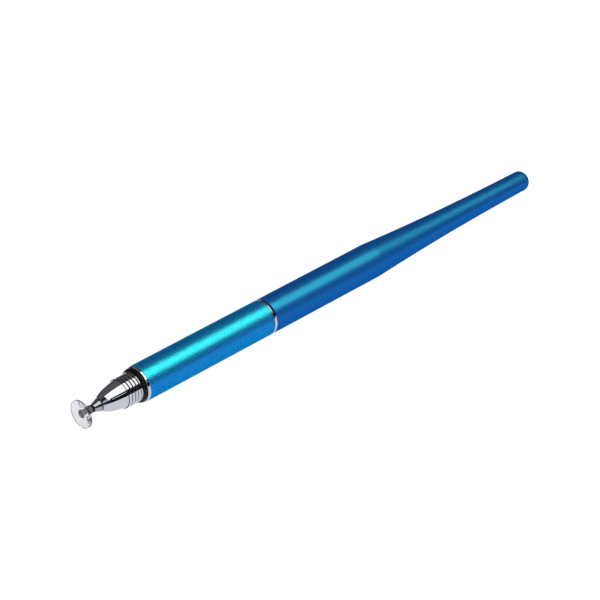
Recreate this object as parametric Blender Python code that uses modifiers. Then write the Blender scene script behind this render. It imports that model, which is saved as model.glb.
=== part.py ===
"""Disc-tip capacitive stylus pen.

Frame: metres, +Z up. The pen lies along X with its touch disc at -X and its
round tail at +X. The origin is under the middle of the pen, on the surface
that it rests on. Every turned piece is drawn in one axial coordinate s, in
millimetres, measured along the pen from the face of the touch disc.
"""

import math

import bmesh
import bpy

MM = 0.001

# ---- driving dimensions, millimetres -------------------------------------
LENGTH = 154.0            # face of the disc to the end of the tail
BARREL_R = 4.5            # outside radius of both barrels, to their flats
BARREL_BORE_R = 3.9       # inside radius of both barrels
FACETS = 24               # sides of the large turned pieces
SMALL_FACETS = 16         # sides of the small turned pieces

DISC_R = 3.5              # touch disc
DISC_RIM = 0.45           # thickness of its rim
DISC_FACE = 0.36          # thickness of the clear face over the pad
HUB_END = 2.85            # rear end of the disc's hub
HUB_R = 1.14
HUB_BORE_R = 0.95
PAD_R = 1.04              # conductive pad behind the face
PAD_POCKET_R = 1.08

BALL_S = 3.25             # centre of the ball joint
BALL_R = 0.58
SOCKET_CAVITY_R = 0.62
SOCKET_R = 0.90
SOCKET_END = 3.52
STEM_R = 0.26
SHANK_R = 0.36

DISH_R = 1.02             # the ferrule's hollow front, centred on the ball
FERRULE_END = 5.36
FERRULE_R = 1.56
WASHER_S = (5.39, 5.53)
WASHER_R = 1.50
TIP_THREAD_R = 1.00       # M2
TIP_THREAD_PITCH = 0.40
TIP_THREAD_S = (5.80, 9.00)

NOSE_S = 5.56             # front face of the nose cone
NOSE_FRONT_R = 1.62
NOSE_REAR_R = 3.50
NOSE_REAR_S = 11.55
NOSE_STRAIGHT = 0.58      # share of the ogive's rise that is a plain cone
NOSE_ROUND = 3.8          # how fast the rest of the rise is used up
BAND_S = (11.60, 15.70)   # ribbed band
BAND_R = (3.62, 3.70)
GROOVES = 4
GROOVE_FIRST_S = 12.52
GROOVE_STEP = 0.93
GROOVE_WIDTH = 0.28
GROOVE_DEPTH = 0.14
SPIGOT_RELIEF_R = 2.50
BARREL_THREAD_R = 2.85    # crest of both barrel threads
BARREL_THREAD_PITCH = 0.75
NOSE_THREAD_S = (17.20, 21.60)

SEAL_S = (15.76, 16.72)
RING_S = (16.76, 17.44)   # front trim ring
SLEEVE_END = 21.0
SLEEVE_R = 3.86
NOSE_BUSH_S = (16.90, 23.00)
BUSH_BORE_R = 2.93
FRONT_BARREL_S = (17.48, 57.20)
MID_BUSH_S = (50.00, 57.10)
MID_RING_S = (57.24, 58.18)
REAR_THREAD_S = (51.50, 56.90)
REAR_STUD_END = 63.0
REAR_BARREL_S = 58.22
TAPER_S = (94.8, 151.8)
TAIL_R = 2.68
TAPER_STRAIGHT = 0.25
TAPER_POWER = 2.2
TAIL_WALL = 0.85
TILT_DEG = 30.0           # the disc's tilt, each way, that the ball allows

AXIS_HEIGHT = BARREL_R    # the pen rests on one of the barrel's flats


# ---- scene ----------------------------------------------------------------
def clear_scene():
    for item in list(bpy.data.objects):
        bpy.data.objects.remove(item, do_unlink=True)


def new_collection(name):
    made = bpy.data.collections.new(name)
    bpy.context.scene.collection.children.link(made)
    return made


def new_material(name, color, metallic, roughness, alpha=1.0):
    made = bpy.data.materials.new(name)
    made.use_nodes = True
    shader = made.node_tree.nodes["Principled BSDF"]
    shader.inputs["Base Color"].default_value = (*color, 1.0)
    shader.inputs["Metallic"].default_value = metallic
    shader.inputs["Roughness"].default_value = roughness
    shader.inputs["Alpha"].default_value = alpha
    made.diffuse_color = (*color, alpha)
    return made


def new_empty(name, collection, location, parent=None, roll=0.0):
    made = bpy.data.objects.new(name, None)
    made.empty_display_size = 0.004
    made.location = location
    made.rotation_euler = (roll, 0.0, 0.0)
    made.parent = parent
    collection.objects.link(made)
    return made


# ---- turned pieces ----------------------------------------------------------
def turned(name, outline, material, collection, parent, facets, origin_s=0.0):
    """Turns an outline of (s, radius) points about the pen's axis.

    The radii are those of the flats, so a bore is never narrower than stated.
    The outline runs rearward along the outside and forward along the bore. A
    piece with a through bore is a closed loop; any other starts and ends on the
    axis. origin_s is where on the axis the object's origin sits.
    """
    loop = list(reversed(outline))
    closed = all(radius > 0.0 for _, radius in loop)
    mesh = bpy.data.meshes.new(name)
    shape = bmesh.new()
    wide = MM / math.cos(math.pi / facets)
    verts = [shape.verts.new((radius * wide, 0.0, (s - origin_s) * MM)) for s, radius in loop]
    for a, b in zip(verts, verts[1:]):
        shape.edges.new((a, b))
    if closed:
        shape.edges.new((verts[-1], verts[0]))
    shape.to_mesh(mesh)
    shape.free()
    made = bpy.data.objects.new(name, mesh)
    collection.objects.link(made)
    spin = made.modifiers.new("turn", "SCREW")
    spin.axis = "Z"
    spin.angle = 2.0 * math.pi
    spin.steps = facets
    spin.render_steps = facets
    spin.use_merge_vertices = True
    spin.merge_threshold = 0.000001
    spin.use_smooth_shade = True
    made.data.materials.append(material)
    made.parent = parent
    made.rotation_euler = (0.0, math.pi / 2.0, 0.0)
    return made


def bake(item):
    """Replaces an object's modifiers with the mesh that they give."""
    graph = bpy.context.evaluated_depsgraph_get()
    mesh = bpy.data.meshes.new_from_object(item.evaluated_get(graph))
    mesh.name = item.name
    item.modifiers.clear()
    old = item.data
    item.data = mesh
    bpy.data.meshes.remove(old)


def cut_thread(item, span, crest, depth, pitch, facets):
    """Sinks a right-hand helical groove into the rows that lie on the crest radius."""
    bake(item)
    first, last = span
    corner = crest / math.cos(math.pi / facets)
    for vert in item.data.vertices:
        x, y, z = vert.co
        s = z / MM
        radius = math.hypot(x, y) / MM
        if not (first < s < last) or abs(radius - corner) > 0.01:
            continue
        phase = (s / pitch - math.atan2(y, x) / (2.0 * math.pi)) % 1.0
        tooth = 1.0 - abs(2.0 * phase - 1.0)
        fade = min(1.0, (s - first) / pitch, (last - s) / pitch)
        scale = 1.0 - depth * tooth * fade / radius
        vert.co.x = x * scale
        vert.co.y = y * scale
    item.data.update()


def thread_rows(span, crest, pitch):
    """Rows along a threaded length, four to a pitch."""
    first, last = span
    count = max(2, round((last - first) / pitch * 4))
    return [(first + (last - first) * i / count, crest) for i in range(count + 1)]


def arc(centre_s, radius, start_deg, end_deg, count):
    """Points of a ball's outline. 0 degrees is the rear pole and 180 the front pole."""
    points = []
    for i in range(count + 1):
        angle = math.radians(start_deg + (end_deg - start_deg) * i / count)
        points.append((centre_s + radius * math.cos(angle), max(0.0, radius * math.sin(angle))))
    return points


def nose_radius(s):
    """The ogive: a plain cone plus a rounded rise near its front."""
    x = (s - NOSE_S) / (NOSE_REAR_S - NOSE_S)
    rise = NOSE_STRAIGHT * x + (1.0 - NOSE_STRAIGHT) * (1.0 - (1.0 - x) ** NOSE_ROUND)
    return NOSE_FRONT_R + (NOSE_REAR_R - NOSE_FRONT_R) * rise


def tail_radius(s):
    """The rear barrel's hollow taper, which flattens out towards the tail."""
    left = 1.0 - (s - TAPER_S[0]) / (TAPER_S[1] - TAPER_S[0])
    share = TAPER_STRAIGHT * left + (1.0 - TAPER_STRAIGHT) * left**TAPER_POWER
    return TAIL_R + (BARREL_R - TAIL_R) * share


def spaced(first, last, count):
    return [first + (last - first) * i / count for i in range(count + 1)]


# ---- outlines ---------------------------------------------------------------
def touch_disc_outline():
    cone = []
    for x in (0.0, 0.2, 0.45, 0.72, 1.0):
        s = DISC_RIM + 0.12 + (HUB_END - DISC_RIM - 0.12) * x
        cone.append((s, HUB_R + (DISC_R - 0.12 - HUB_R) * (1.0 - x) ** 2.1))
    return [
        (0.0, 0.0),
        (0.0, DISC_R - 0.12),
        (0.10, DISC_R),
        (DISC_RIM, DISC_R),
        *cone,
        (HUB_END, HUB_BORE_R),
        (0.78, HUB_BORE_R),
        (0.78, PAD_POCKET_R),
        (DISC_FACE, PAD_POCKET_R),
        (DISC_FACE, 0.0),
    ]


def contact_pad_outline():
    return [(0.39, 0.0), (0.39, PAD_R), (0.74, PAD_R), (0.74, 0.0)]


def ball_socket_outline():
    lip = math.degrees(math.acos(0.24 / SOCKET_CAVITY_R))
    return [
        (0.81, 0.0),
        (0.81, SOCKET_R - 0.04),
        (0.85, SOCKET_R),
        (SOCKET_END - 0.06, SOCKET_R),
        (SOCKET_END, SOCKET_R - 0.06),
        (SOCKET_END, 0.60),
        *arc(BALL_S, SOCKET_CAVITY_R, lip, 180.0, 7),
    ]


def ball_stud_outline():
    neck = math.degrees(math.asin(STEM_R / BALL_R))
    return [
        *arc(BALL_S, BALL_R, 180.0, neck, 9),
        (4.36, STEM_R),
        (4.40, SHANK_R),
        (7.20, SHANK_R),
        (7.26, SHANK_R - 0.06),
        (7.26, 0.0),
    ]


def tip_ferrule_outline():
    bore = SHANK_R + 0.05
    mouth = STEM_R + 0.05
    low = math.degrees(math.asin(mouth / DISH_R))
    high = math.degrees(math.asin(0.93 / DISH_R))
    dish = arc(BALL_S, DISH_R, low, high, 5)
    return [
        (dish[-1][0], 0.955),
        (3.74, 1.01),
        (5.28, FERRULE_R),
        (FERRULE_END, FERRULE_R - 0.06),
        (FERRULE_END, 0.80),
        (TIP_THREAD_S[0] - 0.14, 0.80),
        *thread_rows(TIP_THREAD_S, TIP_THREAD_R, TIP_THREAD_PITCH),
        (TIP_THREAD_S[1] + 0.10, 0.84),
        (TIP_THREAD_S[1] + 0.10, bore),
        (4.33, bore),
        (4.33, mouth),
        *dish,
    ]


def tip_washer_outline():
    front, rear = WASHER_S
    return [
        (front, WASHER_R - 0.03),
        (front + 0.03, WASHER_R),
        (rear - 0.03, WASHER_R),
        (rear, WASHER_R - 0.03),
        (rear, 1.06),
        (front, 1.06),
    ]


def tip_bush_outline():
    return [
        (6.60, 1.34),
        (6.66, 1.40),
        (9.36, 1.40),
        (9.42, 1.34),
        (9.42, 1.12),
        (9.34, 1.06),
        (6.68, 1.06),
        (6.60, 1.12),
    ]


def nose_cone_outline():
    band = []
    slope = (BAND_R[1] - BAND_R[0]) / (BAND_S[1] - BAND_S[0])
    for i in range(GROOVES):
        middle = GROOVE_FIRST_S + GROOVE_STEP * i
        surface = BAND_R[0] + slope * (middle - BAND_S[0])
        half = GROOVE_WIDTH / 2.0
        band += [
            (middle - half, surface),
            (middle - half * 0.45, surface - GROOVE_DEPTH),
            (middle + half * 0.45, surface - GROOVE_DEPTH),
            (middle + half, surface),
        ]
    front = NOSE_S + 0.06
    return [
        (NOSE_S, nose_radius(NOSE_S) - 0.06),
        *[(s, nose_radius(s)) for s in (front, 6.0, 6.5, 7.15, 8.0, 9.2, NOSE_REAR_S)],
        (BAND_S[0], BAND_R[0]),
        *band,
        (BAND_S[1] - 0.08, BAND_R[1]),
        (BAND_S[1], BAND_R[1] - 0.08),
        (BAND_S[1], SPIGOT_RELIEF_R),
        (NOSE_THREAD_S[0] - 0.25, SPIGOT_RELIEF_R),
        *thread_rows(NOSE_THREAD_S, BARREL_THREAD_R, BARREL_THREAD_PITCH),
        (NOSE_THREAD_S[1] + 0.22, 2.55),
        (NOSE_THREAD_S[1] + 0.22, 1.95),
        (9.62, 1.95),
        (9.50, 1.45),
        (6.54, 1.45),
        (6.54, 1.12),
        (NOSE_S, 1.12),
    ]


def nose_seal_outline():
    front, rear = SEAL_S
    return [
        (front, 3.74),
        (front + 0.04, 3.94),
        (front + 0.22, 4.10),
        (front + 0.50, 4.22),
        (rear - 0.10, 4.28),
        (rear, 4.25),
        (rear, 2.97),
        (front, 2.97),
    ]


def front_trim_ring_outline():
    front, rear = RING_S
    return [
        (front, 4.26),
        (front + 0.05, 4.33),
        (rear - 0.06, BARREL_R - 0.01),
        (rear, BARREL_R - 0.06),
        (rear, SLEEVE_R),
        (SLEEVE_END - 0.1, SLEEVE_R),
        (SLEEVE_END, SLEEVE_R - 0.1),
        (SLEEVE_END, 3.45),
        (front, 3.45),
    ]


def bush_outline(span, outside):
    front, rear = span
    return [
        (front, outside - 0.12),
        (front + 0.12, outside),
        (rear - 0.12, outside),
        (rear, outside - 0.12),
        (rear, BUSH_BORE_R + 0.12),
        (rear - 0.12, BUSH_BORE_R),
        (front + 0.12, BUSH_BORE_R),
        (front, BUSH_BORE_R + 0.12),
    ]


def front_barrel_outline():
    front, rear = FRONT_BARREL_S
    return [
        (front, BARREL_R - 0.07),
        (front + 0.07, BARREL_R),
        (rear - 0.07, BARREL_R),
        (rear, BARREL_R - 0.07),
        (rear, BARREL_BORE_R),
        (front, BARREL_BORE_R),
    ]


def mid_trim_ring_outline():
    front, rear = MID_RING_S
    return [
        (front, BARREL_R - 0.14),
        (front + 0.12, BARREL_R - 0.01),
        (rear - 0.12, BARREL_R - 0.01),
        (rear, BARREL_R - 0.14),
        (rear, 2.97),
        (front, 2.97),
    ]


def rear_stud_outline():
    shoulder = REAR_BARREL_S + 0.06
    return [
        (REAR_THREAD_S[0] - 0.22, 2.55),
        *thread_rows(REAR_THREAD_S, BARREL_THREAD_R, BARREL_THREAD_PITCH),
        (REAR_THREAD_S[1] + 0.22, SPIGOT_RELIEF_R),
        (shoulder, SPIGOT_RELIEF_R),
        (shoulder, 3.74),
        (shoulder + 0.12, 3.86),
        (REAR_STUD_END - 0.12, 3.86),
        (REAR_STUD_END, 3.74),
        (REAR_STUD_END, 1.70),
        (REAR_THREAD_S[0] - 0.22, 1.70),
    ]


def rear_barrel_outline():
    front = REAR_BARREL_S
    end = TAPER_S[1]
    dome = []
    for i in range(1, 5):
        angle = math.pi / 2.0 * i / 5
        dome.append((end + (LENGTH - end) * math.sin(angle), TAIL_R * math.cos(angle)))
    outside = [TAPER_S[0] + (end - TAPER_S[0]) * (i / 9) ** 1.15 for i in range(10)]
    inside = spaced(end - 3.4, TAPER_S[0] + 0.6, 6)
    return [
        (end - 1.2, 0.0),
        (end - 1.7, 1.1),
        *[(s, tail_radius(s) - TAIL_WALL) for s in inside],
        (TAPER_S[0] - 2.5, BARREL_BORE_R),
        (front, BARREL_BORE_R),
        (front, BARREL_R - 0.07),
        (front + 0.07, BARREL_R),
        *[(s, tail_radius(s)) for s in outside],
        *dome,
        (LENGTH, 0.0),
    ]


# ---- assembly ---------------------------------------------------------------
def main():
    clear_scene()
    pen = new_collection("disc_stylus_pen")
    new_collection("disc_stylus_pen_cutters")

    clear = new_material("clear_plastic", (0.85, 0.88, 0.90), 0.0, 0.08, 0.35)
    pad = new_material("grey_conductor", (0.16, 0.17, 0.19), 0.1, 0.6)
    black = new_material("black_conductive_plastic", (0.012, 0.012, 0.014), 0.0, 0.35)
    steel = new_material("bright_steel", (0.62, 0.62, 0.63), 1.0, 0.16)
    chrome = new_material("chrome_plate", (0.80, 0.80, 0.82), 1.0, 0.06)
    rubber = new_material("black_rubber", (0.015, 0.015, 0.017), 0.0, 0.55)
    brass = new_material("turned_brass", (0.72, 0.50, 0.20), 1.0, 0.28)
    blue = new_material("blue_blasted_anodise", (0.015, 0.24, 0.42), 0.9, 0.38)
    deep_blue = new_material("blue_satin_anodise", (0.010, 0.17, 0.36), 0.9, 0.30)

    # The half-step roll puts a flat side of the 24-sided barrels underneath.
    axis = new_empty("pen_axis", pen, (-LENGTH / 2.0 * MM, 0.0, AXIS_HEIGHT * MM), roll=math.pi / FACETS)
    ball = new_empty("ball_centre", pen, (BALL_S * MM, 0.0, 0.0), axis)
    nose = new_empty("nose_thread_axis", pen, (0.0, 0.0, 0.0), axis)
    tip = new_empty("tip_thread_axis", pen, (0.0, 0.0, 0.0), nose)
    rear = new_empty("rear_thread_axis", pen, (0.0, 0.0, 0.0), axis)

    big, small = FACETS, SMALL_FACETS
    turned("touch_disc", touch_disc_outline(), clear, pen, ball, big, BALL_S)
    turned("contact_pad", contact_pad_outline(), pad, pen, ball, big, BALL_S)
    turned("ball_socket", ball_socket_outline(), black, pen, ball, small, BALL_S)
    turned("ball_stud", ball_stud_outline(), steel, pen, ball, small, BALL_S)

    ferrule = turned("tip_ferrule", tip_ferrule_outline(), chrome, pen, tip, small)
    cut_thread(ferrule, TIP_THREAD_S, TIP_THREAD_R, 0.20, TIP_THREAD_PITCH, small)
    turned("tip_washer", tip_washer_outline(), rubber, pen, tip, small)

    cone = turned("nose_cone", nose_cone_outline(), chrome, pen, nose, big)
    cut_thread(cone, NOSE_THREAD_S, BARREL_THREAD_R, 0.34, BARREL_THREAD_PITCH, big)
    turned("tip_bush", tip_bush_outline(), brass, pen, nose, small)
    turned("nose_seal", nose_seal_outline(), rubber, pen, nose, big)

    turned("front_trim_ring", front_trim_ring_outline(), chrome, pen, axis, big)
    turned("nose_bush", bush_outline(NOSE_BUSH_S, 3.40), brass, pen, axis, big)
    turned("front_barrel", front_barrel_outline(), blue, pen, axis, big)
    turned("mid_bush", bush_outline(MID_BUSH_S, 3.86), brass, pen, axis, big)

    turned("mid_trim_ring", mid_trim_ring_outline(), chrome, pen, rear, big)
    stud = turned("rear_stud", rear_stud_outline(), brass, pen, rear, big)
    cut_thread(stud, REAR_THREAD_S, BARREL_THREAD_R, 0.34, BARREL_THREAD_PITCH, big)
    turned("rear_barrel", rear_barrel_outline(), deep_blue, pen, rear, big)

    for item in pen.objects:
        if item.type == "MESH" and not item.modifiers:
            item.data.shade_smooth()
            item.data.set_sharp_from_angle(angle=math.radians(30.0))


main()
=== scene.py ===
import math

import bmesh
import bpy
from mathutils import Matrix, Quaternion, Vector


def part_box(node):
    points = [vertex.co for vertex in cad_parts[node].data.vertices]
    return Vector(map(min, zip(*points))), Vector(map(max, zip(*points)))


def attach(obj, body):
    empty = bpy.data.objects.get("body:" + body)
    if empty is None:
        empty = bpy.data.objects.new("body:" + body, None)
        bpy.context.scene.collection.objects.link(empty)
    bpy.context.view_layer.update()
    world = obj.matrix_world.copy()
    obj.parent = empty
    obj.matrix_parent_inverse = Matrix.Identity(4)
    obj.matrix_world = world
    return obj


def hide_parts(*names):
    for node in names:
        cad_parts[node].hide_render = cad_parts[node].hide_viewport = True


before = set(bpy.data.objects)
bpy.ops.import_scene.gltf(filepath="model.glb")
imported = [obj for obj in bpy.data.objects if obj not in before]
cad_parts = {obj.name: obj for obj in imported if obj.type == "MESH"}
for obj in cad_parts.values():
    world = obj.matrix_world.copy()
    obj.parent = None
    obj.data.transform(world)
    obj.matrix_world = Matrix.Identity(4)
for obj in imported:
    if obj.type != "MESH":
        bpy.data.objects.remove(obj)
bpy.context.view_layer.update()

MM = 0.001
LENGTH = 154.0
AXIS_Z = 4.5
FRONT_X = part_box("touch_disc")[0].x        # the disc's face, where s is 0
ROUND = 5                                  # segments of a rounded edge


# ---------------------------------------------------------------- outlines
# Every piece is turned about the pen's axis. An outline is a list of points
# (s, r) in millimetres, s from the disc's face towards the tail, that runs
# rearward on the outside and forward on the bore. A third number rounds that
# corner with an arc of that radius.
def rounded(points, closed):
    """Rounds the corners that carry a radius, and adds a holding row beside each arc."""
    made = []
    count = len(points)
    for i, point in enumerate(points):
        here = Vector(point[:2])
        radius = point[2] if len(point) > 2 else 0.0
        if radius <= 0.0 or (not closed and i in (0, count - 1)):
            made.append(here)
            continue
        before = Vector(points[(i - 1) % count][:2]) - here
        after = Vector(points[(i + 1) % count][:2]) - here
        a, b = before.normalized(), after.normalized()
        half = math.acos(max(-1.0, min(1.0, a.dot(b)))) / 2.0
        if half > math.radians(86.0):
            made.append(here)
            continue
        reach = min(radius / math.tan(half), before.length * 0.45, after.length * 0.45)
        radius = reach * math.tan(half)
        centre = here + (a + b).normalized() * (radius / math.sin(half))
        first, last = here + a * reach, here + b * reach
        hold = min(0.02, before.length * 0.04)
        made.append(first + a * hold)
        start = math.atan2(first.y - centre.y, first.x - centre.x)
        turn = math.atan2(last.y - centre.y, last.x - centre.x) - start
        turn = (turn + math.pi) % (2.0 * math.pi) - math.pi
        for k in range(ROUND + 1):
            angle = start + turn * k / ROUND
            made.append(centre + radius * Vector((math.cos(angle), math.sin(angle))))
        hold = min(0.02, after.length * 0.04)
        made.append(last + b * hold)
    return [(p.x, max(0.0, p.y)) for p in made]


def ball(centre, radius, start_deg, end_deg, count):
    out = []
    for i in range(count + 1):
        angle = math.radians(start_deg + (end_deg - start_deg) * i / count)
        out.append((centre + radius * math.cos(angle), max(0.0, radius * math.sin(angle))))
    return out


def evenly(first, last, count):
    return [first + (last - first) * i / count for i in range(count + 1)]


class Thread:
    """A right-handed thread on the rows of one radius; inside cuts into a bore."""

    def __init__(self, first, last, radius, depth, pitch, inside=False):
        self.first, self.last, self.radius = first, last, radius
        self.depth, self.pitch, self.inside = depth, pitch, inside

    def rows(self):
        count = round((self.last - self.first) / self.pitch * 20)
        rows = [(s, self.radius) for s in evenly(self.first, self.last, count)]
        return list(reversed(rows)) if self.inside else rows

    def radius_at(self, s, r, theta):
        if abs(r - self.radius) > 0.002 or not self.first < s < self.last:
            return r
        phase = (s / self.pitch - theta / (2.0 * math.pi)) % 1.0
        ramp = abs(2.0 * phase - 1.0)
        sunk = max(0.0, min(1.0, (0.86 - ramp) / 0.62))
        sunk = sunk * sunk * (3.0 - 2.0 * sunk) * 0.35 + sunk * 0.65
        fade = min(1.0, (s - self.first) / self.pitch, (self.last - s) / self.pitch)
        if self.inside:
            return r + self.depth * (1.0 - sunk) * fade
        return r - self.depth * sunk * fade


def turned(name, body, material, points, segments=160, thread=None, sharp=32.0):
    """Turns an outline into a closed mesh that stands for the CAD node of that name."""
    loop = all(p[1] > 0.0 for p in points)
    outline = rounded(points, loop)
    shape = bmesh.new()
    rings = []
    for s, r in outline:
        if r < 1e-6:
            rings.append([shape.verts.new((s * MM, 0.0, 0.0))])
            continue
        ring = []
        for j in range(segments):
            theta = 2.0 * math.pi * j / segments
            cut = thread.radius_at(s, r, theta) if thread else r
            ring.append(shape.verts.new((s * MM, cut * math.cos(theta) * MM, cut * math.sin(theta) * MM)))
        rings.append(ring)
    pairs = list(zip(rings, rings[1:]))
    if loop:
        pairs.append((rings[-1], rings[0]))
    for a, b in pairs:
        for j in range(segments):
            k = (j + 1) % segments
            if len(a) == 1 and len(b) == 1:
                continue
            if len(a) == 1:
                shape.faces.new((a[0], b[k], b[j]))
            elif len(b) == 1:
                shape.faces.new((a[j], a[k], b[0]))
            else:
                shape.faces.new((a[j], a[k], b[k], b[j]))
    bmesh.ops.remove_doubles(shape, verts=shape.verts, dist=1e-8)
    mesh = bpy.data.meshes.new(name + "_surface")
    shape.to_mesh(mesh)
    shape.free()
    mesh.shade_smooth()
    mesh.set_sharp_from_angle(angle=math.radians(sharp))
    made = bpy.data.objects.new("fine_" + name, mesh)
    bpy.context.scene.collection.objects.link(made)
    made.location = (FRONT_X, 0.0, AXIS_Z * MM)
    mesh.materials.append(material)
    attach(made, body)
    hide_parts(name)
    return made


# ---------------------------------------------------------------- materials
class Surface:
    """A Principled material with the procedural detail that its finish has."""

    def __init__(self, name, metallic=0.0, ior=1.5):
        self.material = bpy.data.materials.new(name)
        self.material.use_nodes = True
        self.tree = self.material.node_tree
        self.shader = self.tree.nodes["Principled BSDF"]
        self.shader.inputs["Metallic"].default_value = metallic
        self.shader.inputs["IOR"].default_value = ior
        self.place = self.tree.nodes.new("ShaderNodeTexCoord").outputs["Object"]
        self.height = None

    def link(self, a, b):
        self.tree.links.new(a, b)

    def noise(self, scale, detail=2.0, stretch=(1.0, 1.0, 1.0), rough=0.55):
        """Noise of `scale` cells to the metre, drawn out along an axis where stretch is small."""
        mapping = self.tree.nodes.new("ShaderNodeMapping")
        mapping.inputs["Scale"].default_value = stretch
        self.link(self.place, mapping.inputs["Vector"])
        node = self.tree.nodes.new("ShaderNodeTexNoise")
        node.inputs["Scale"].default_value = scale
        node.inputs["Detail"].default_value = detail
        node.inputs["Roughness"].default_value = rough
        self.link(mapping.outputs["Vector"], node.inputs["Vector"])
        return node.outputs["Fac"]

    def cells(self, scale, feature="F1"):
        node = self.tree.nodes.new("ShaderNodeTexVoronoi")
        node.feature = feature
        node.inputs["Scale"].default_value = scale
        self.link(self.place, node.inputs["Vector"])
        return node.outputs["Distance"]

    def along(self, first, last):
        """0 to 1 as s runs from first to last, in millimetres."""
        split = self.tree.nodes.new("ShaderNodeSeparateXYZ")
        self.link(self.place, split.inputs["Vector"])
        return self.spread(split.outputs["X"], 0.0, 1.0, first * MM, last * MM)

    def outwards(self, first, last):
        """0 to 1 as the distance from the axis runs from first to last, in millimetres."""
        flat = self.tree.nodes.new("ShaderNodeMapping")
        flat.inputs["Scale"].default_value = (0.0, 1.0, 1.0)
        self.link(self.place, flat.inputs["Vector"])
        length = self.tree.nodes.new("ShaderNodeVectorMath")
        length.operation = "LENGTH"
        self.link(flat.outputs["Vector"], length.inputs[0])
        return self.spread(length.outputs["Value"], 0.0, 1.0, first * MM, last * MM)

    def spread(self, value, low, high, start=0.3, end=0.7):
        node = self.tree.nodes.new("ShaderNodeMapRange")
        self.link(value, node.inputs["Value"])
        node.inputs["From Min"].default_value = start
        node.inputs["From Max"].default_value = end
        node.inputs["To Min"].default_value = low
        node.inputs["To Max"].default_value = high
        return node.outputs["Result"]

    def product(self, a, b):
        node = self.tree.nodes.new("ShaderNodeMath")
        node.operation = "MULTIPLY"
        self.link(a, node.inputs[0])
        self.link(b, node.inputs[1])
        return node.outputs["Value"]

    def total(self, a, b):
        node = self.tree.nodes.new("ShaderNodeMath")
        node.operation = "ADD"
        self.link(a, node.inputs[0])
        self.link(b, node.inputs[1])
        return node.outputs["Value"]

    def blend(self, value, low, high):
        """A colour between two, by a value that varies over the surface."""
        node = self.tree.nodes.new("ShaderNodeMix")
        node.data_type = "RGBA"
        self.link(value, node.inputs["Factor"])
        for socket, colour in (("A", low), ("B", high)):
            found = [i for i in node.inputs if i.name == socket and i.type == "RGBA"][0]
            if isinstance(colour, tuple):
                found.default_value = (*colour, 1.0)
            else:
                self.link(colour, found)
        return [o for o in node.outputs if o.type == "RGBA"][0]

    def colour(self, output):
        self.link(output, self.shader.inputs["Base Color"])

    def roughness(self, output):
        self.link(output, self.shader.inputs["Roughness"])

    def bump(self, value, strength, depth_mm):
        node = self.tree.nodes.new("ShaderNodeBump")
        node.inputs["Strength"].default_value = strength
        node.inputs["Distance"].default_value = depth_mm * MM
        self.link(value, node.inputs["Height"])
        if self.height is not None:
            self.link(self.height, node.inputs["Normal"])
        self.height = node.outputs["Normal"]
        self.link(self.height, self.shader.inputs["Normal"])


def anodised(name, colour, deep, metal, edge, rough, grain, grain_strength, mottle, ends):
    """Dyed anodised aluminium: the dye scatters light, the metal under it mirrors it, and edge tints the film's own gloss.
    ends are the s where an edge of the tube is, in millimetres."""
    made = Surface(name, metallic=metal)
    made.shader.inputs["Specular Tint"].default_value = (*edge, 1.0)
    made.shader.inputs["Specular IOR Level"].default_value = 0.0
    coarse = made.spread(made.noise(2600.0, 3.0, rough=0.75), 0.0, 1.0, 0.37, 0.63)
    fine = made.spread(made.noise(grain * 0.5, 2.0), 0.72, 1.0)
    shown = made.blend(made.product(coarse, fine), deep, colour)
    worn = made.noise(2600.0, 3.0)
    for first, last in ends:
        near = made.product(made.along(first, last), made.spread(worn, 0.0, 0.5, 0.42, 0.62))
        pale = tuple(min(1.0, c * 1.35 + 0.02) for c in colour)
        shown = made.blend(near, shown, pale)
    made.colour(shown)
    made.roughness(made.spread(made.noise(1900.0, 3.0, rough=0.7), rough - mottle, rough + mottle))
    made.bump(made.noise(grain, 2.0, rough=0.7), grain_strength, 0.004)
    made.bump(made.noise(2300.0, 2.0, rough=0.6), 1.0, mottle * 0.9)
    return made.material


def plated(name, colour, dull, low, high):
    """Polished chrome, with the fine rings that polishing in a lathe leaves, and painted shade that darkens it to near
    black at the bottom of the band's grooves and along the band's front step.
    """
    made = Surface(name, metallic=1.0)
    unshaded = made.blend(made.spread(made.noise(500.0, 3.0), 0.0, 1.0), colour, dull)
    # Painted shade: the colour goes near black at the bottom of the band's grooves and along the step at the band's
    # front, where shade falls.
    sunk = made.product(made.along(12.0, 12.1), made.outwards(3.665, 3.585))
    sunk = made.product(sunk, made.along(15.75, 15.65))
    step_shade = made.product(made.along(11.54, 11.585), made.along(11.70, 11.64))
    step_shade = made.product(step_shade, made.outwards(3.685, 3.66))
    made.colour(made.blend(made.total(sunk, step_shade), unshaded, (0.07, 0.07, 0.078)))
    rings = made.noise(9000.0, 2.0, stretch=(1.0, 0.02, 0.02))
    hairs = made.noise(5200.0, 4.0, stretch=(1.0, 0.12, 0.12))
    made.roughness(made.spread(hairs, low, high))
    made.bump(rings, 0.03, 0.001)
    return made.material


def turned_metal(name, colour, dull, low, high, strength):
    """Bare metal with the cutting tool's fine circular marks."""
    made = Surface(name, metallic=1.0)
    made.colour(made.blend(made.spread(made.noise(700.0, 4.0), 0.0, 1.0), colour, dull))
    marks = made.noise(14000.0, 2.0, stretch=(1.0, 0.01, 0.01))
    made.roughness(made.spread(made.noise(3000.0, 3.0, stretch=(1.0, 0.08, 0.08)), low, high))
    made.bump(marks, strength, 0.003)
    return made.material


def moulded(name, colour, pale, low, high, scale, strength, depth, gloss=0.5):
    """A moulded surface: faint mottling, uneven gloss and a fine skin texture."""
    made = Surface(name, ior=1.5)
    made.shader.inputs["Specular IOR Level"].default_value = gloss
    made.colour(made.blend(made.spread(made.noise(scale * 0.4, 3.0), 0.0, 1.0), colour, pale))
    made.roughness(made.spread(made.noise(scale * 0.2, 3.0), low, high))
    made.bump(made.noise(scale, 3.0), strength, depth)
    return made.material


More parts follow.
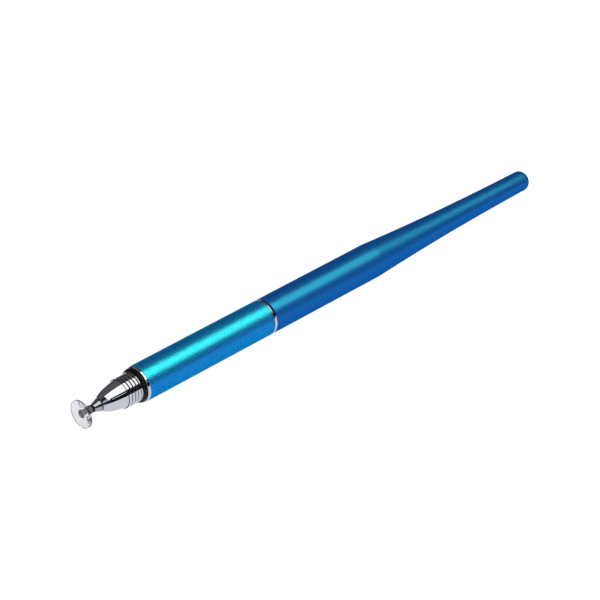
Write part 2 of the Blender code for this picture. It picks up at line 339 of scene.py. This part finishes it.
def clear_plastic():
    made = Surface("clear_polycarbonate", ior=1.20)
    made.shader.inputs["Transmission Weight"].default_value = 0.93
    body = made.blend(made.spread(made.noise(420.0, 2.0), 0.0, 1.0), (0.70, 0.705, 0.725), (0.78, 0.78, 0.795))
    # Painted shade: the disc's colour goes dark grey near the rim, standing in for the dark outline that refraction
    # draws at a clear rim.
    made.colour(made.blend(made.outwards(3.36, 3.48), body, (0.24, 0.245, 0.27)))
    made.roughness(made.spread(made.noise(1500.0, 3.0), 0.02, 0.07))
    made.bump(made.noise(420.0, 2.0), 0.12, 0.004)
    return made.material


CLEAR = clear_plastic()
PAD = moulded("grey_conductive_filling", (0.030, 0.030, 0.040), (0.055, 0.055, 0.068), 0.55, 0.75, 9000.0, 0.35, 0.010, gloss=0.04)
BLACK = moulded("black_conductive_plastic", (0.003, 0.003, 0.0035), (0.008, 0.008, 0.009), 0.40, 0.55, 5000.0, 0.10, 0.004, gloss=0.06)
RUBBER = moulded("black_moulded_rubber", (0.006, 0.006, 0.0085), (0.015, 0.015, 0.019), 0.42, 0.58, 7000.0, 0.18, 0.006, gloss=0.12)
STEEL = turned_metal("polished_steel", (0.66, 0.66, 0.68), (0.56, 0.56, 0.58), 0.10, 0.20, 0.10)
CHROME = plated("chrome_plate", (0.525, 0.540, 0.580), (0.465, 0.478, 0.520), 0.025, 0.065)
# A darker copy of the chrome for the tip ferrule: painted shade, so that the ferrule reads darker than the nose cone.
SHADED_TIP_CHROME = plated("shaded_tip_chrome_plate", (0.335, 0.342, 0.362), (0.295, 0.302, 0.326), 0.030, 0.075)
BRASS = turned_metal("turned_brass", (0.78, 0.56, 0.25), (0.62, 0.42, 0.17), 0.20, 0.34, 0.22)
BLUE = anodised("blue_blasted_anodise", (0.017, 0.222, 0.600), (0.006, 0.152, 0.435), 0.62, (0.12, 0.60, 0.58),
                0.33, 8500.0, 0.30, 0.045, [(17.75, 17.48), (56.95, 57.20)])
DEEP_BLUE = anodised("blue_satin_anodise", (0.0110, 0.108, 0.380), (0.0080, 0.096, 0.345), 0.48, (0.05, 0.40, 0.55),
                     0.33, 11000.0, 0.14, 0.02, [(58.50, 58.22)])


# ---------------------------------------------------------------- the tip
BALL_S = 3.25
DISC_R = 3.5
RIM = 0.45
HUB_END, HUB_R = 2.85, 1.14


def flare(x):
    """The disc's rear: a hollow cone from the rim down to the hub."""
    s = RIM + 0.10 + (HUB_END - 0.10 - RIM - 0.10) * x
    return s, HUB_R + (DISC_R - 0.10 - HUB_R) * (1.0 - x) ** 2.1


turned("touch_disc", "disc", CLEAR, [
    (0.0, 0.0),
    (0.0, DISC_R, 0.09),
    (RIM, DISC_R, 0.07),
    *[flare(x) for x in evenly(0.0, 1.0, 26)],
    (HUB_END, HUB_R, 0.07),
    (HUB_END, 0.95, 0.05),
    (0.78, 0.95, 0.03),
    (0.78, 1.08, 0.03),
    (0.36, 1.08, 0.03),
    (0.36, 0.0),
], segments=192)

turned("contact_pad", "socket", PAD, [
    (0.39, 0.0),
    (0.39, 1.04, 0.05),
    (0.74, 1.04, 0.05),
    (0.74, 0.0),
], segments=96)

turned("ball_socket", "socket", BLACK, [
    (0.81, 0.0),
    (0.81, 0.90, 0.05),
    (3.52, 0.90, 0.10),
    (3.52, 0.60, 0.03),
    *ball(BALL_S, 0.62, math.degrees(math.acos(0.24 / 0.62)), 180.0, 24),
], segments=96)

turned("ball_stud", "stud", STEEL, [
    *ball(BALL_S, 0.58, 180.0, math.degrees(math.asin(0.26 / 0.58)) + 3.0, 30),
    (BALL_S + 0.64, 0.26, 0.10),
    (4.38, 0.26, 0.04),
    (4.38, 0.36, 0.04),
    (7.26, 0.36, 0.07),
    (7.26, 0.0),
], segments=72)


# ---------------------------------------------------------------- the ferrule
TIP_THREAD = Thread(5.80, 9.00, 1.00, 0.19, 0.40)
dish_low = math.degrees(math.asin(0.31 / 1.02))
dish_high = math.degrees(math.asin(0.945 / 1.02))
dish = ball(BALL_S, 1.02, dish_low, dish_high, 16)
turned("tip_ferrule", "tip", SHADED_TIP_CHROME, [
    (dish[-1][0] + 0.01, 0.975),
    (3.74, 1.005, 0.03),
    (5.36, 1.565, 0.06),
    (5.36, 0.80, 0.03),
    (5.66, 0.80, 0.05),
    *TIP_THREAD.rows(),
    (9.10, 0.86, 0.05),
    (9.10, 0.41, 0.03),
    (4.33, 0.41),
    (4.33, 0.31, 0.03),
    *dish,
], segments=144, thread=TIP_THREAD)

turned("tip_washer", "tip_washer_ring", RUBBER, [
    (5.39, 1.50, 0.05),
    (5.53, 1.50, 0.05),
    (5.53, 1.06, 0.03),
    (5.39, 1.06, 0.03),
], segments=96)

TIP_FEMALE = Thread(6.80, 9.20, 1.035, 0.13, 0.40, inside=True)
turned("tip_bush", "nose", BRASS, [
    (6.60, 1.40, 0.06),
    (9.42, 1.40, 0.06),
    (9.42, 1.14),
    (9.30, 1.06),
    *TIP_FEMALE.rows(),
    (6.70, 1.06),
    (6.60, 1.14),
], segments=96, thread=TIP_FEMALE)


# ---------------------------------------------------------------- the nose
NOSE_S, NOSE_FRONT_R, NOSE_REAR_R, NOSE_REAR_S = 5.56, 1.62, 3.50, 11.52
BAND_FIRST, BAND_LAST = 11.60, 15.70


def nose_radius(s):
    x = (s - NOSE_S) / (11.55 - NOSE_S)
    rise = 0.58 * x + 0.42 * (1.0 - (1.0 - x) ** 3.8)
    return NOSE_FRONT_R + (NOSE_REAR_R - NOSE_FRONT_R) * rise


def band_radius(s):
    return 3.69 + 0.02 * (s - BAND_FIRST) / (BAND_LAST - BAND_FIRST)


def rib_radius(s):
    """The band between its flat ends: domed ribs with a round-bottomed groove between them."""
    off = min(abs(s - (12.52 + 0.93 * i)) for i in range(4)) / 0.465
    groove = max(0.0, 1.0 - off / 0.42)
    groove = groove * groove * (3.0 - 2.0 * groove)
    dome = max(0.0, 1.0 - off) ** 2
    return band_radius(s) - 0.112 * groove - 0.038 * dome


ribs = [(s, rib_radius(s)) for s in evenly(12.055, 15.60, 110)]

NOSE_THREAD = Thread(17.20, 21.60, 2.85, 0.36, 0.75)
turned("nose_cone", "nose", CHROME, [
    (NOSE_S, 1.60, 0.05),
    *[(s, nose_radius(s)) for s in (NOSE_S + 0.10 + (NOSE_REAR_S - NOSE_S - 0.10) * (i / 52) ** 1.35 for i in range(53))],
    (BAND_FIRST, nose_radius(NOSE_REAR_S) + 0.004, 0.02),
    (BAND_FIRST, 3.69, 0.04),
    *ribs,
    (BAND_LAST, 3.71, 0.08),
    (BAND_LAST, 2.50, 0.05),
    (16.95, 2.50, 0.10),
    *NOSE_THREAD.rows(),
    (21.82, 2.56, 0.08),
    (21.82, 1.95, 0.06),
    (9.62, 1.95),
    (9.50, 1.45),
    (6.54, 1.45, 0.03),
    (6.54, 1.12, 0.03),
    (NOSE_S, 1.12, 0.04),
], segments=192, thread=NOSE_THREAD)

turned("nose_seal", "nose_seal_ring", RUBBER, [
    (15.76, 3.745, 0.05),
    (15.80, 3.94),
    (15.87, 4.03),
    (15.98, 4.10),
    (16.12, 4.155),
    (16.26, 4.205),
    (16.42, 4.245),
    (16.58, 4.27),
    (16.72, 4.275, 0.06),
    (16.72, 2.97, 0.05),
    (15.76, 2.97, 0.05),
], segments=192)


# ---------------------------------------------------------------- the barrels
turned("front_trim_ring", "grip", CHROME, [
    (16.76, 4.265, 0.03),
    *[(s, 4.487 - 0.165 * ((17.33 - s) / 0.53) ** 1.8) for s in evenly(16.80, 17.33, 12)],
    (17.40, 4.480),
    (17.44, 4.455, 0.02),
    (17.44, 3.86, 0.03),
    (21.0, 3.86, 0.10),
    (21.0, 3.45, 0.05),
    (16.76, 3.45, 0.05),
], segments=192)


def bush(name, span, outside):
    female = Thread(span[0] + 0.30, span[1] - 0.30, 2.885, 0.20, 0.75, inside=True)
    turned(name, "grip", BRASS, [
        (span[0], outside, 0.12),
        (span[1], outside, 0.12),
        (span[1], 3.09, 0.02),
        (span[1] - 0.16, 2.93),
        *female.rows(),
        (span[0] + 0.16, 2.93),
        (span[0], 3.09, 0.02),
    ], segments=144, thread=female)


bush("nose_bush", (16.90, 23.00), 3.40)
bush("mid_bush", (50.00, 57.10), 3.86)

turned("front_barrel", "grip", BLUE, [
    (17.48, 4.497, 0.08),
    (57.20, 4.497, 0.08),
    (57.20, 3.90, 0.05),
    (17.48, 3.90, 0.05),
], segments=192)

turned("mid_trim_ring", "middle_ring", CHROME, [
    (57.24, 4.345, 0.02),
    (57.27, 4.43),
    (57.31, 4.475),
    *[(s, 4.489 - 0.115 * ((s - 57.35) / 0.75) ** 2.0) for s in evenly(57.37, 58.10, 16)],
    (58.18, 4.345, 0.02),
    (58.18, 2.97, 0.05),
    (57.24, 2.97, 0.05),
], segments=192)

REAR_THREAD = Thread(51.50, 56.90, 2.85, 0.36, 0.75)
turned("rear_stud", "rear", BRASS, [
    (51.28, 2.56, 0.08),
    *REAR_THREAD.rows(),
    (57.12, 2.50, 0.08),
    (58.28, 2.50, 0.10),
    (58.28, 3.86, 0.12),
    (63.0, 3.86, 0.12),
    (63.0, 1.70, 0.08),
    (51.28, 1.70, 0.06),
], segments=144, thread=REAR_THREAD)

TAPER_FIRST, TAPER_LAST, TAIL_R, WALL = 94.8, 151.8, 2.68, 0.85


def tail_radius(s):
    left = 1.0 - (s - TAPER_FIRST) / (TAPER_LAST - TAPER_FIRST)
    return TAIL_R + (4.497 - TAIL_R) * (0.25 * left + 0.75 * left ** 2.2)


dome = []
for i in range(1, 20):
    angle = math.pi / 2.0 * i / 20
    dome.append((TAPER_LAST + (LENGTH - TAPER_LAST) * math.sin(angle), TAIL_R * math.cos(angle)))

turned("rear_barrel", "rear", DEEP_BLUE, [
    (150.6, 0.0),
    (150.1, 1.1),
    *[(s, tail_radius(s) - WALL) for s in evenly(148.4, 95.4, 16)],
    (92.3, 3.90),
    (58.22, 3.90, 0.05),
    (58.22, 4.497, 0.08),
    (TAPER_FIRST - 1.0, 4.497),
    *[(TAPER_FIRST + (TAPER_LAST - TAPER_FIRST) * (i / 48) ** 1.25, tail_radius(TAPER_FIRST + (TAPER_LAST - TAPER_FIRST) * (i / 48) ** 1.25)) for i in range(49)],
    *dome,
    (LENGTH, 0.0),
], segments=192)


# ---------------------------------------------------------------- the stage
def floor():
    shape = bmesh.new()
    bmesh.ops.create_grid(shape, x_segments=24, y_segments=24, size=4.0)
    mesh = bpy.data.meshes.new("floor")
    shape.to_mesh(mesh)
    shape.free()
    made = bpy.data.objects.new("floor", mesh)
    bpy.context.scene.collection.objects.link(made)
    paper = Surface("pale_paper", ior=1.45)
    paper.shader.inputs["Specular IOR Level"].default_value = 0.0
    paper.shader.inputs["Roughness"].default_value = 0.9
    paper.shader.inputs["Emission Color"].default_value = (0.925, 0.928, 0.950, 1.0)
    paper.shader.inputs["Emission Strength"].default_value = 1.0
    paper.colour(paper.blend(paper.noise(30.0, 2.0), (0.17, 0.17, 0.175), (0.19, 0.19, 0.195)))
    mesh.materials.append(paper.material)


floor()

scene = bpy.context.scene
scene.view_settings.view_transform = "Standard"

world = bpy.data.worlds.new("studio")
scene.world = world
world.use_nodes = True
tree = world.node_tree
for node in list(tree.nodes):
    tree.nodes.remove(node)
place = tree.nodes.new("ShaderNodeTexCoord")
split = tree.nodes.new("ShaderNodeSeparateXYZ")
tree.links.new(place.outputs["Generated"], split.inputs["Vector"])
back = tree.nodes.new("ShaderNodeMapRange")
back.inputs["From Min"].default_value = -0.25
back.inputs["From Max"].default_value = 0.35
tree.links.new(split.outputs["Y"], back.inputs["Value"])
lift = tree.nodes.new("ShaderNodeMapRange")
lift.inputs["From Min"].default_value = 0.16
lift.inputs["From Max"].default_value = 0.42
tree.links.new(split.outputs["Z"], lift.inputs["Value"])
both = tree.nodes.new("ShaderNodeMath")
both.operation = "MULTIPLY"
tree.links.new(back.outputs["Result"], both.inputs[0])
tree.links.new(lift.outputs["Result"], both.inputs[1])
side = tree.nodes.new("ShaderNodeMapRange")
side.inputs["From Min"].default_value = 0.62
side.inputs["From Max"].default_value = 0.34
side.inputs["To Min"].default_value = 0.40
tree.links.new(split.outputs["X"], side.inputs["Value"])
dim = tree.nodes.new("ShaderNodeMath")
dim.operation = "MULTIPLY"
tree.links.new(both.outputs["Value"], dim.inputs[0])
tree.links.new(side.outputs["Result"], dim.inputs[1])
dark = tree.nodes.new("ShaderNodeMix")
dark.data_type = "RGBA"
tree.links.new(dim.outputs["Value"], dark.inputs["Factor"])
dark.inputs[6].default_value = (0.012, 0.012, 0.014, 1.0)
dark.inputs[7].default_value = (0.168, 0.146, 0.152, 1.0)
unlit = tree.nodes.new("ShaderNodeBackground")
tree.links.new(dark.outputs[2], unlit.inputs["Color"])
pale = tree.nodes.new("ShaderNodeBackground")
pale.inputs["Color"].default_value = (0.93, 0.93, 0.94, 1.0)
path = tree.nodes.new("ShaderNodeLightPath")
either = tree.nodes.new("ShaderNodeMixShader")
tree.links.new(path.outputs["Is Camera Ray"], either.inputs["Fac"])
tree.links.new(unlit.outputs["Background"], either.inputs[1])
tree.links.new(pale.outputs["Background"], either.inputs[2])
out = tree.nodes.new("ShaderNodeOutputWorld")
tree.links.new(either.outputs["Shader"], out.inputs["Surface"])


def around(angle, distance, x=0.0):
    """A point at an angle round the pen from straight up, positive towards the front, in degrees."""
    a = math.radians(angle)
    return Vector((x, -distance * math.sin(a), AXIS_Z * MM + distance * math.cos(a)))


def flagged(light_object, name, pieces, state):
    """Lights only those pieces, or all but those, the way a studio flag shades a panel."""
    group = bpy.data.collections.new(name)
    for piece in pieces:
        group.objects.link(bpy.data.objects["fine_" + piece])
    for entry in group.collection_objects:
        entry.light_linking.link_state = state
    light_object.light_linking.receiver_collection = group


def panel(name, angle, distance, x, wide, tall, radiance, tint, diffuse=False, glossy=True):
    """A soft panel along the pen; radiance is what a mirror shows of it."""
    light = bpy.data.lights.new(name, "AREA")
    light.shape = "RECTANGLE"
    light.size, light.size_y = wide, tall
    light.energy = radiance * math.pi * wide * tall
    light.color = tint
    made = bpy.data.objects.new(name, light)
    scene.collection.objects.link(made)
    made.location = around(angle, distance, x)
    target = Vector((x, 0.0, AXIS_Z * MM))
    made.rotation_mode = "QUATERNION"
    made.rotation_quaternion = (target - made.location).to_track_quat("-Z", "Y")
    made.visible_camera = False
    made.visible_diffuse = diffuse
    made.visible_glossy = glossy
    return made


def sky(name, strength, lean):
    """Even light for matt surfaces, leaning towards the front; the pen's gloss comes from the panels and the floor."""
    light = bpy.data.lights.new(name, "SUN")
    light.energy = strength
    light.angle = math.radians(150.0)
    light.color = (0.985, 0.99, 1.0)
    made = bpy.data.objects.new(name, light)
    scene.collection.objects.link(made)
    made.rotation_euler = (math.radians(lean), math.radians(-6.0), 0.0)
    made.visible_glossy = False
    made.visible_camera = False
    return made


BARRELS = ("front_barrel", "rear_barrel")
flagged(panel("barrel_softbox", 20.5, 0.55, 0.15, 0.72, 0.46, 9.8, (0.90, 1.0, 0.325)), "barrels_only", BARRELS, "INCLUDE")
flagged(panel("softbox", 21.5, 0.55, 0.135, 0.73, 0.56, 1.90, (1.0, 0.985, 0.92)), "not_the_barrels", BARRELS, "EXCLUDE")
panel("side_panel", 46.0, 0.60, -0.36, 0.40, 0.30, 0.72, (0.84, 0.84, 1.0))
panel("edge_strip", 62.0, 0.60, -0.03, 0.18, 0.030, 1.6, (1.0, 1.0, 1.0))
flagged(sky("fill", 3.6, 42.0), "not_the_black_parts", ("ball_socket", "nose_seal", "tip_washer"), "EXCLUDE")

camera = bpy.data.cameras.new("camera")
camera.sensor_width = 36.0
camera.lens = 144.0
camera.clip_start, camera.clip_end = 0.01, 50.0
camera_object = bpy.data.objects.new("camera", camera)
scene.collection.objects.link(camera_object)
camera_object.location = Vector((-357.206, -347.716, 312.299)) * MM
camera_object.rotation_mode = "QUATERNION"
camera_object.rotation_quaternion = (Vector((0.60182, 0.59748, -0.52994)).to_track_quat("-Z", "Y")
                                     @ Quaternion((0.0, 0.0, 1.0), math.radians(0.06)))
scene.camera = camera_object
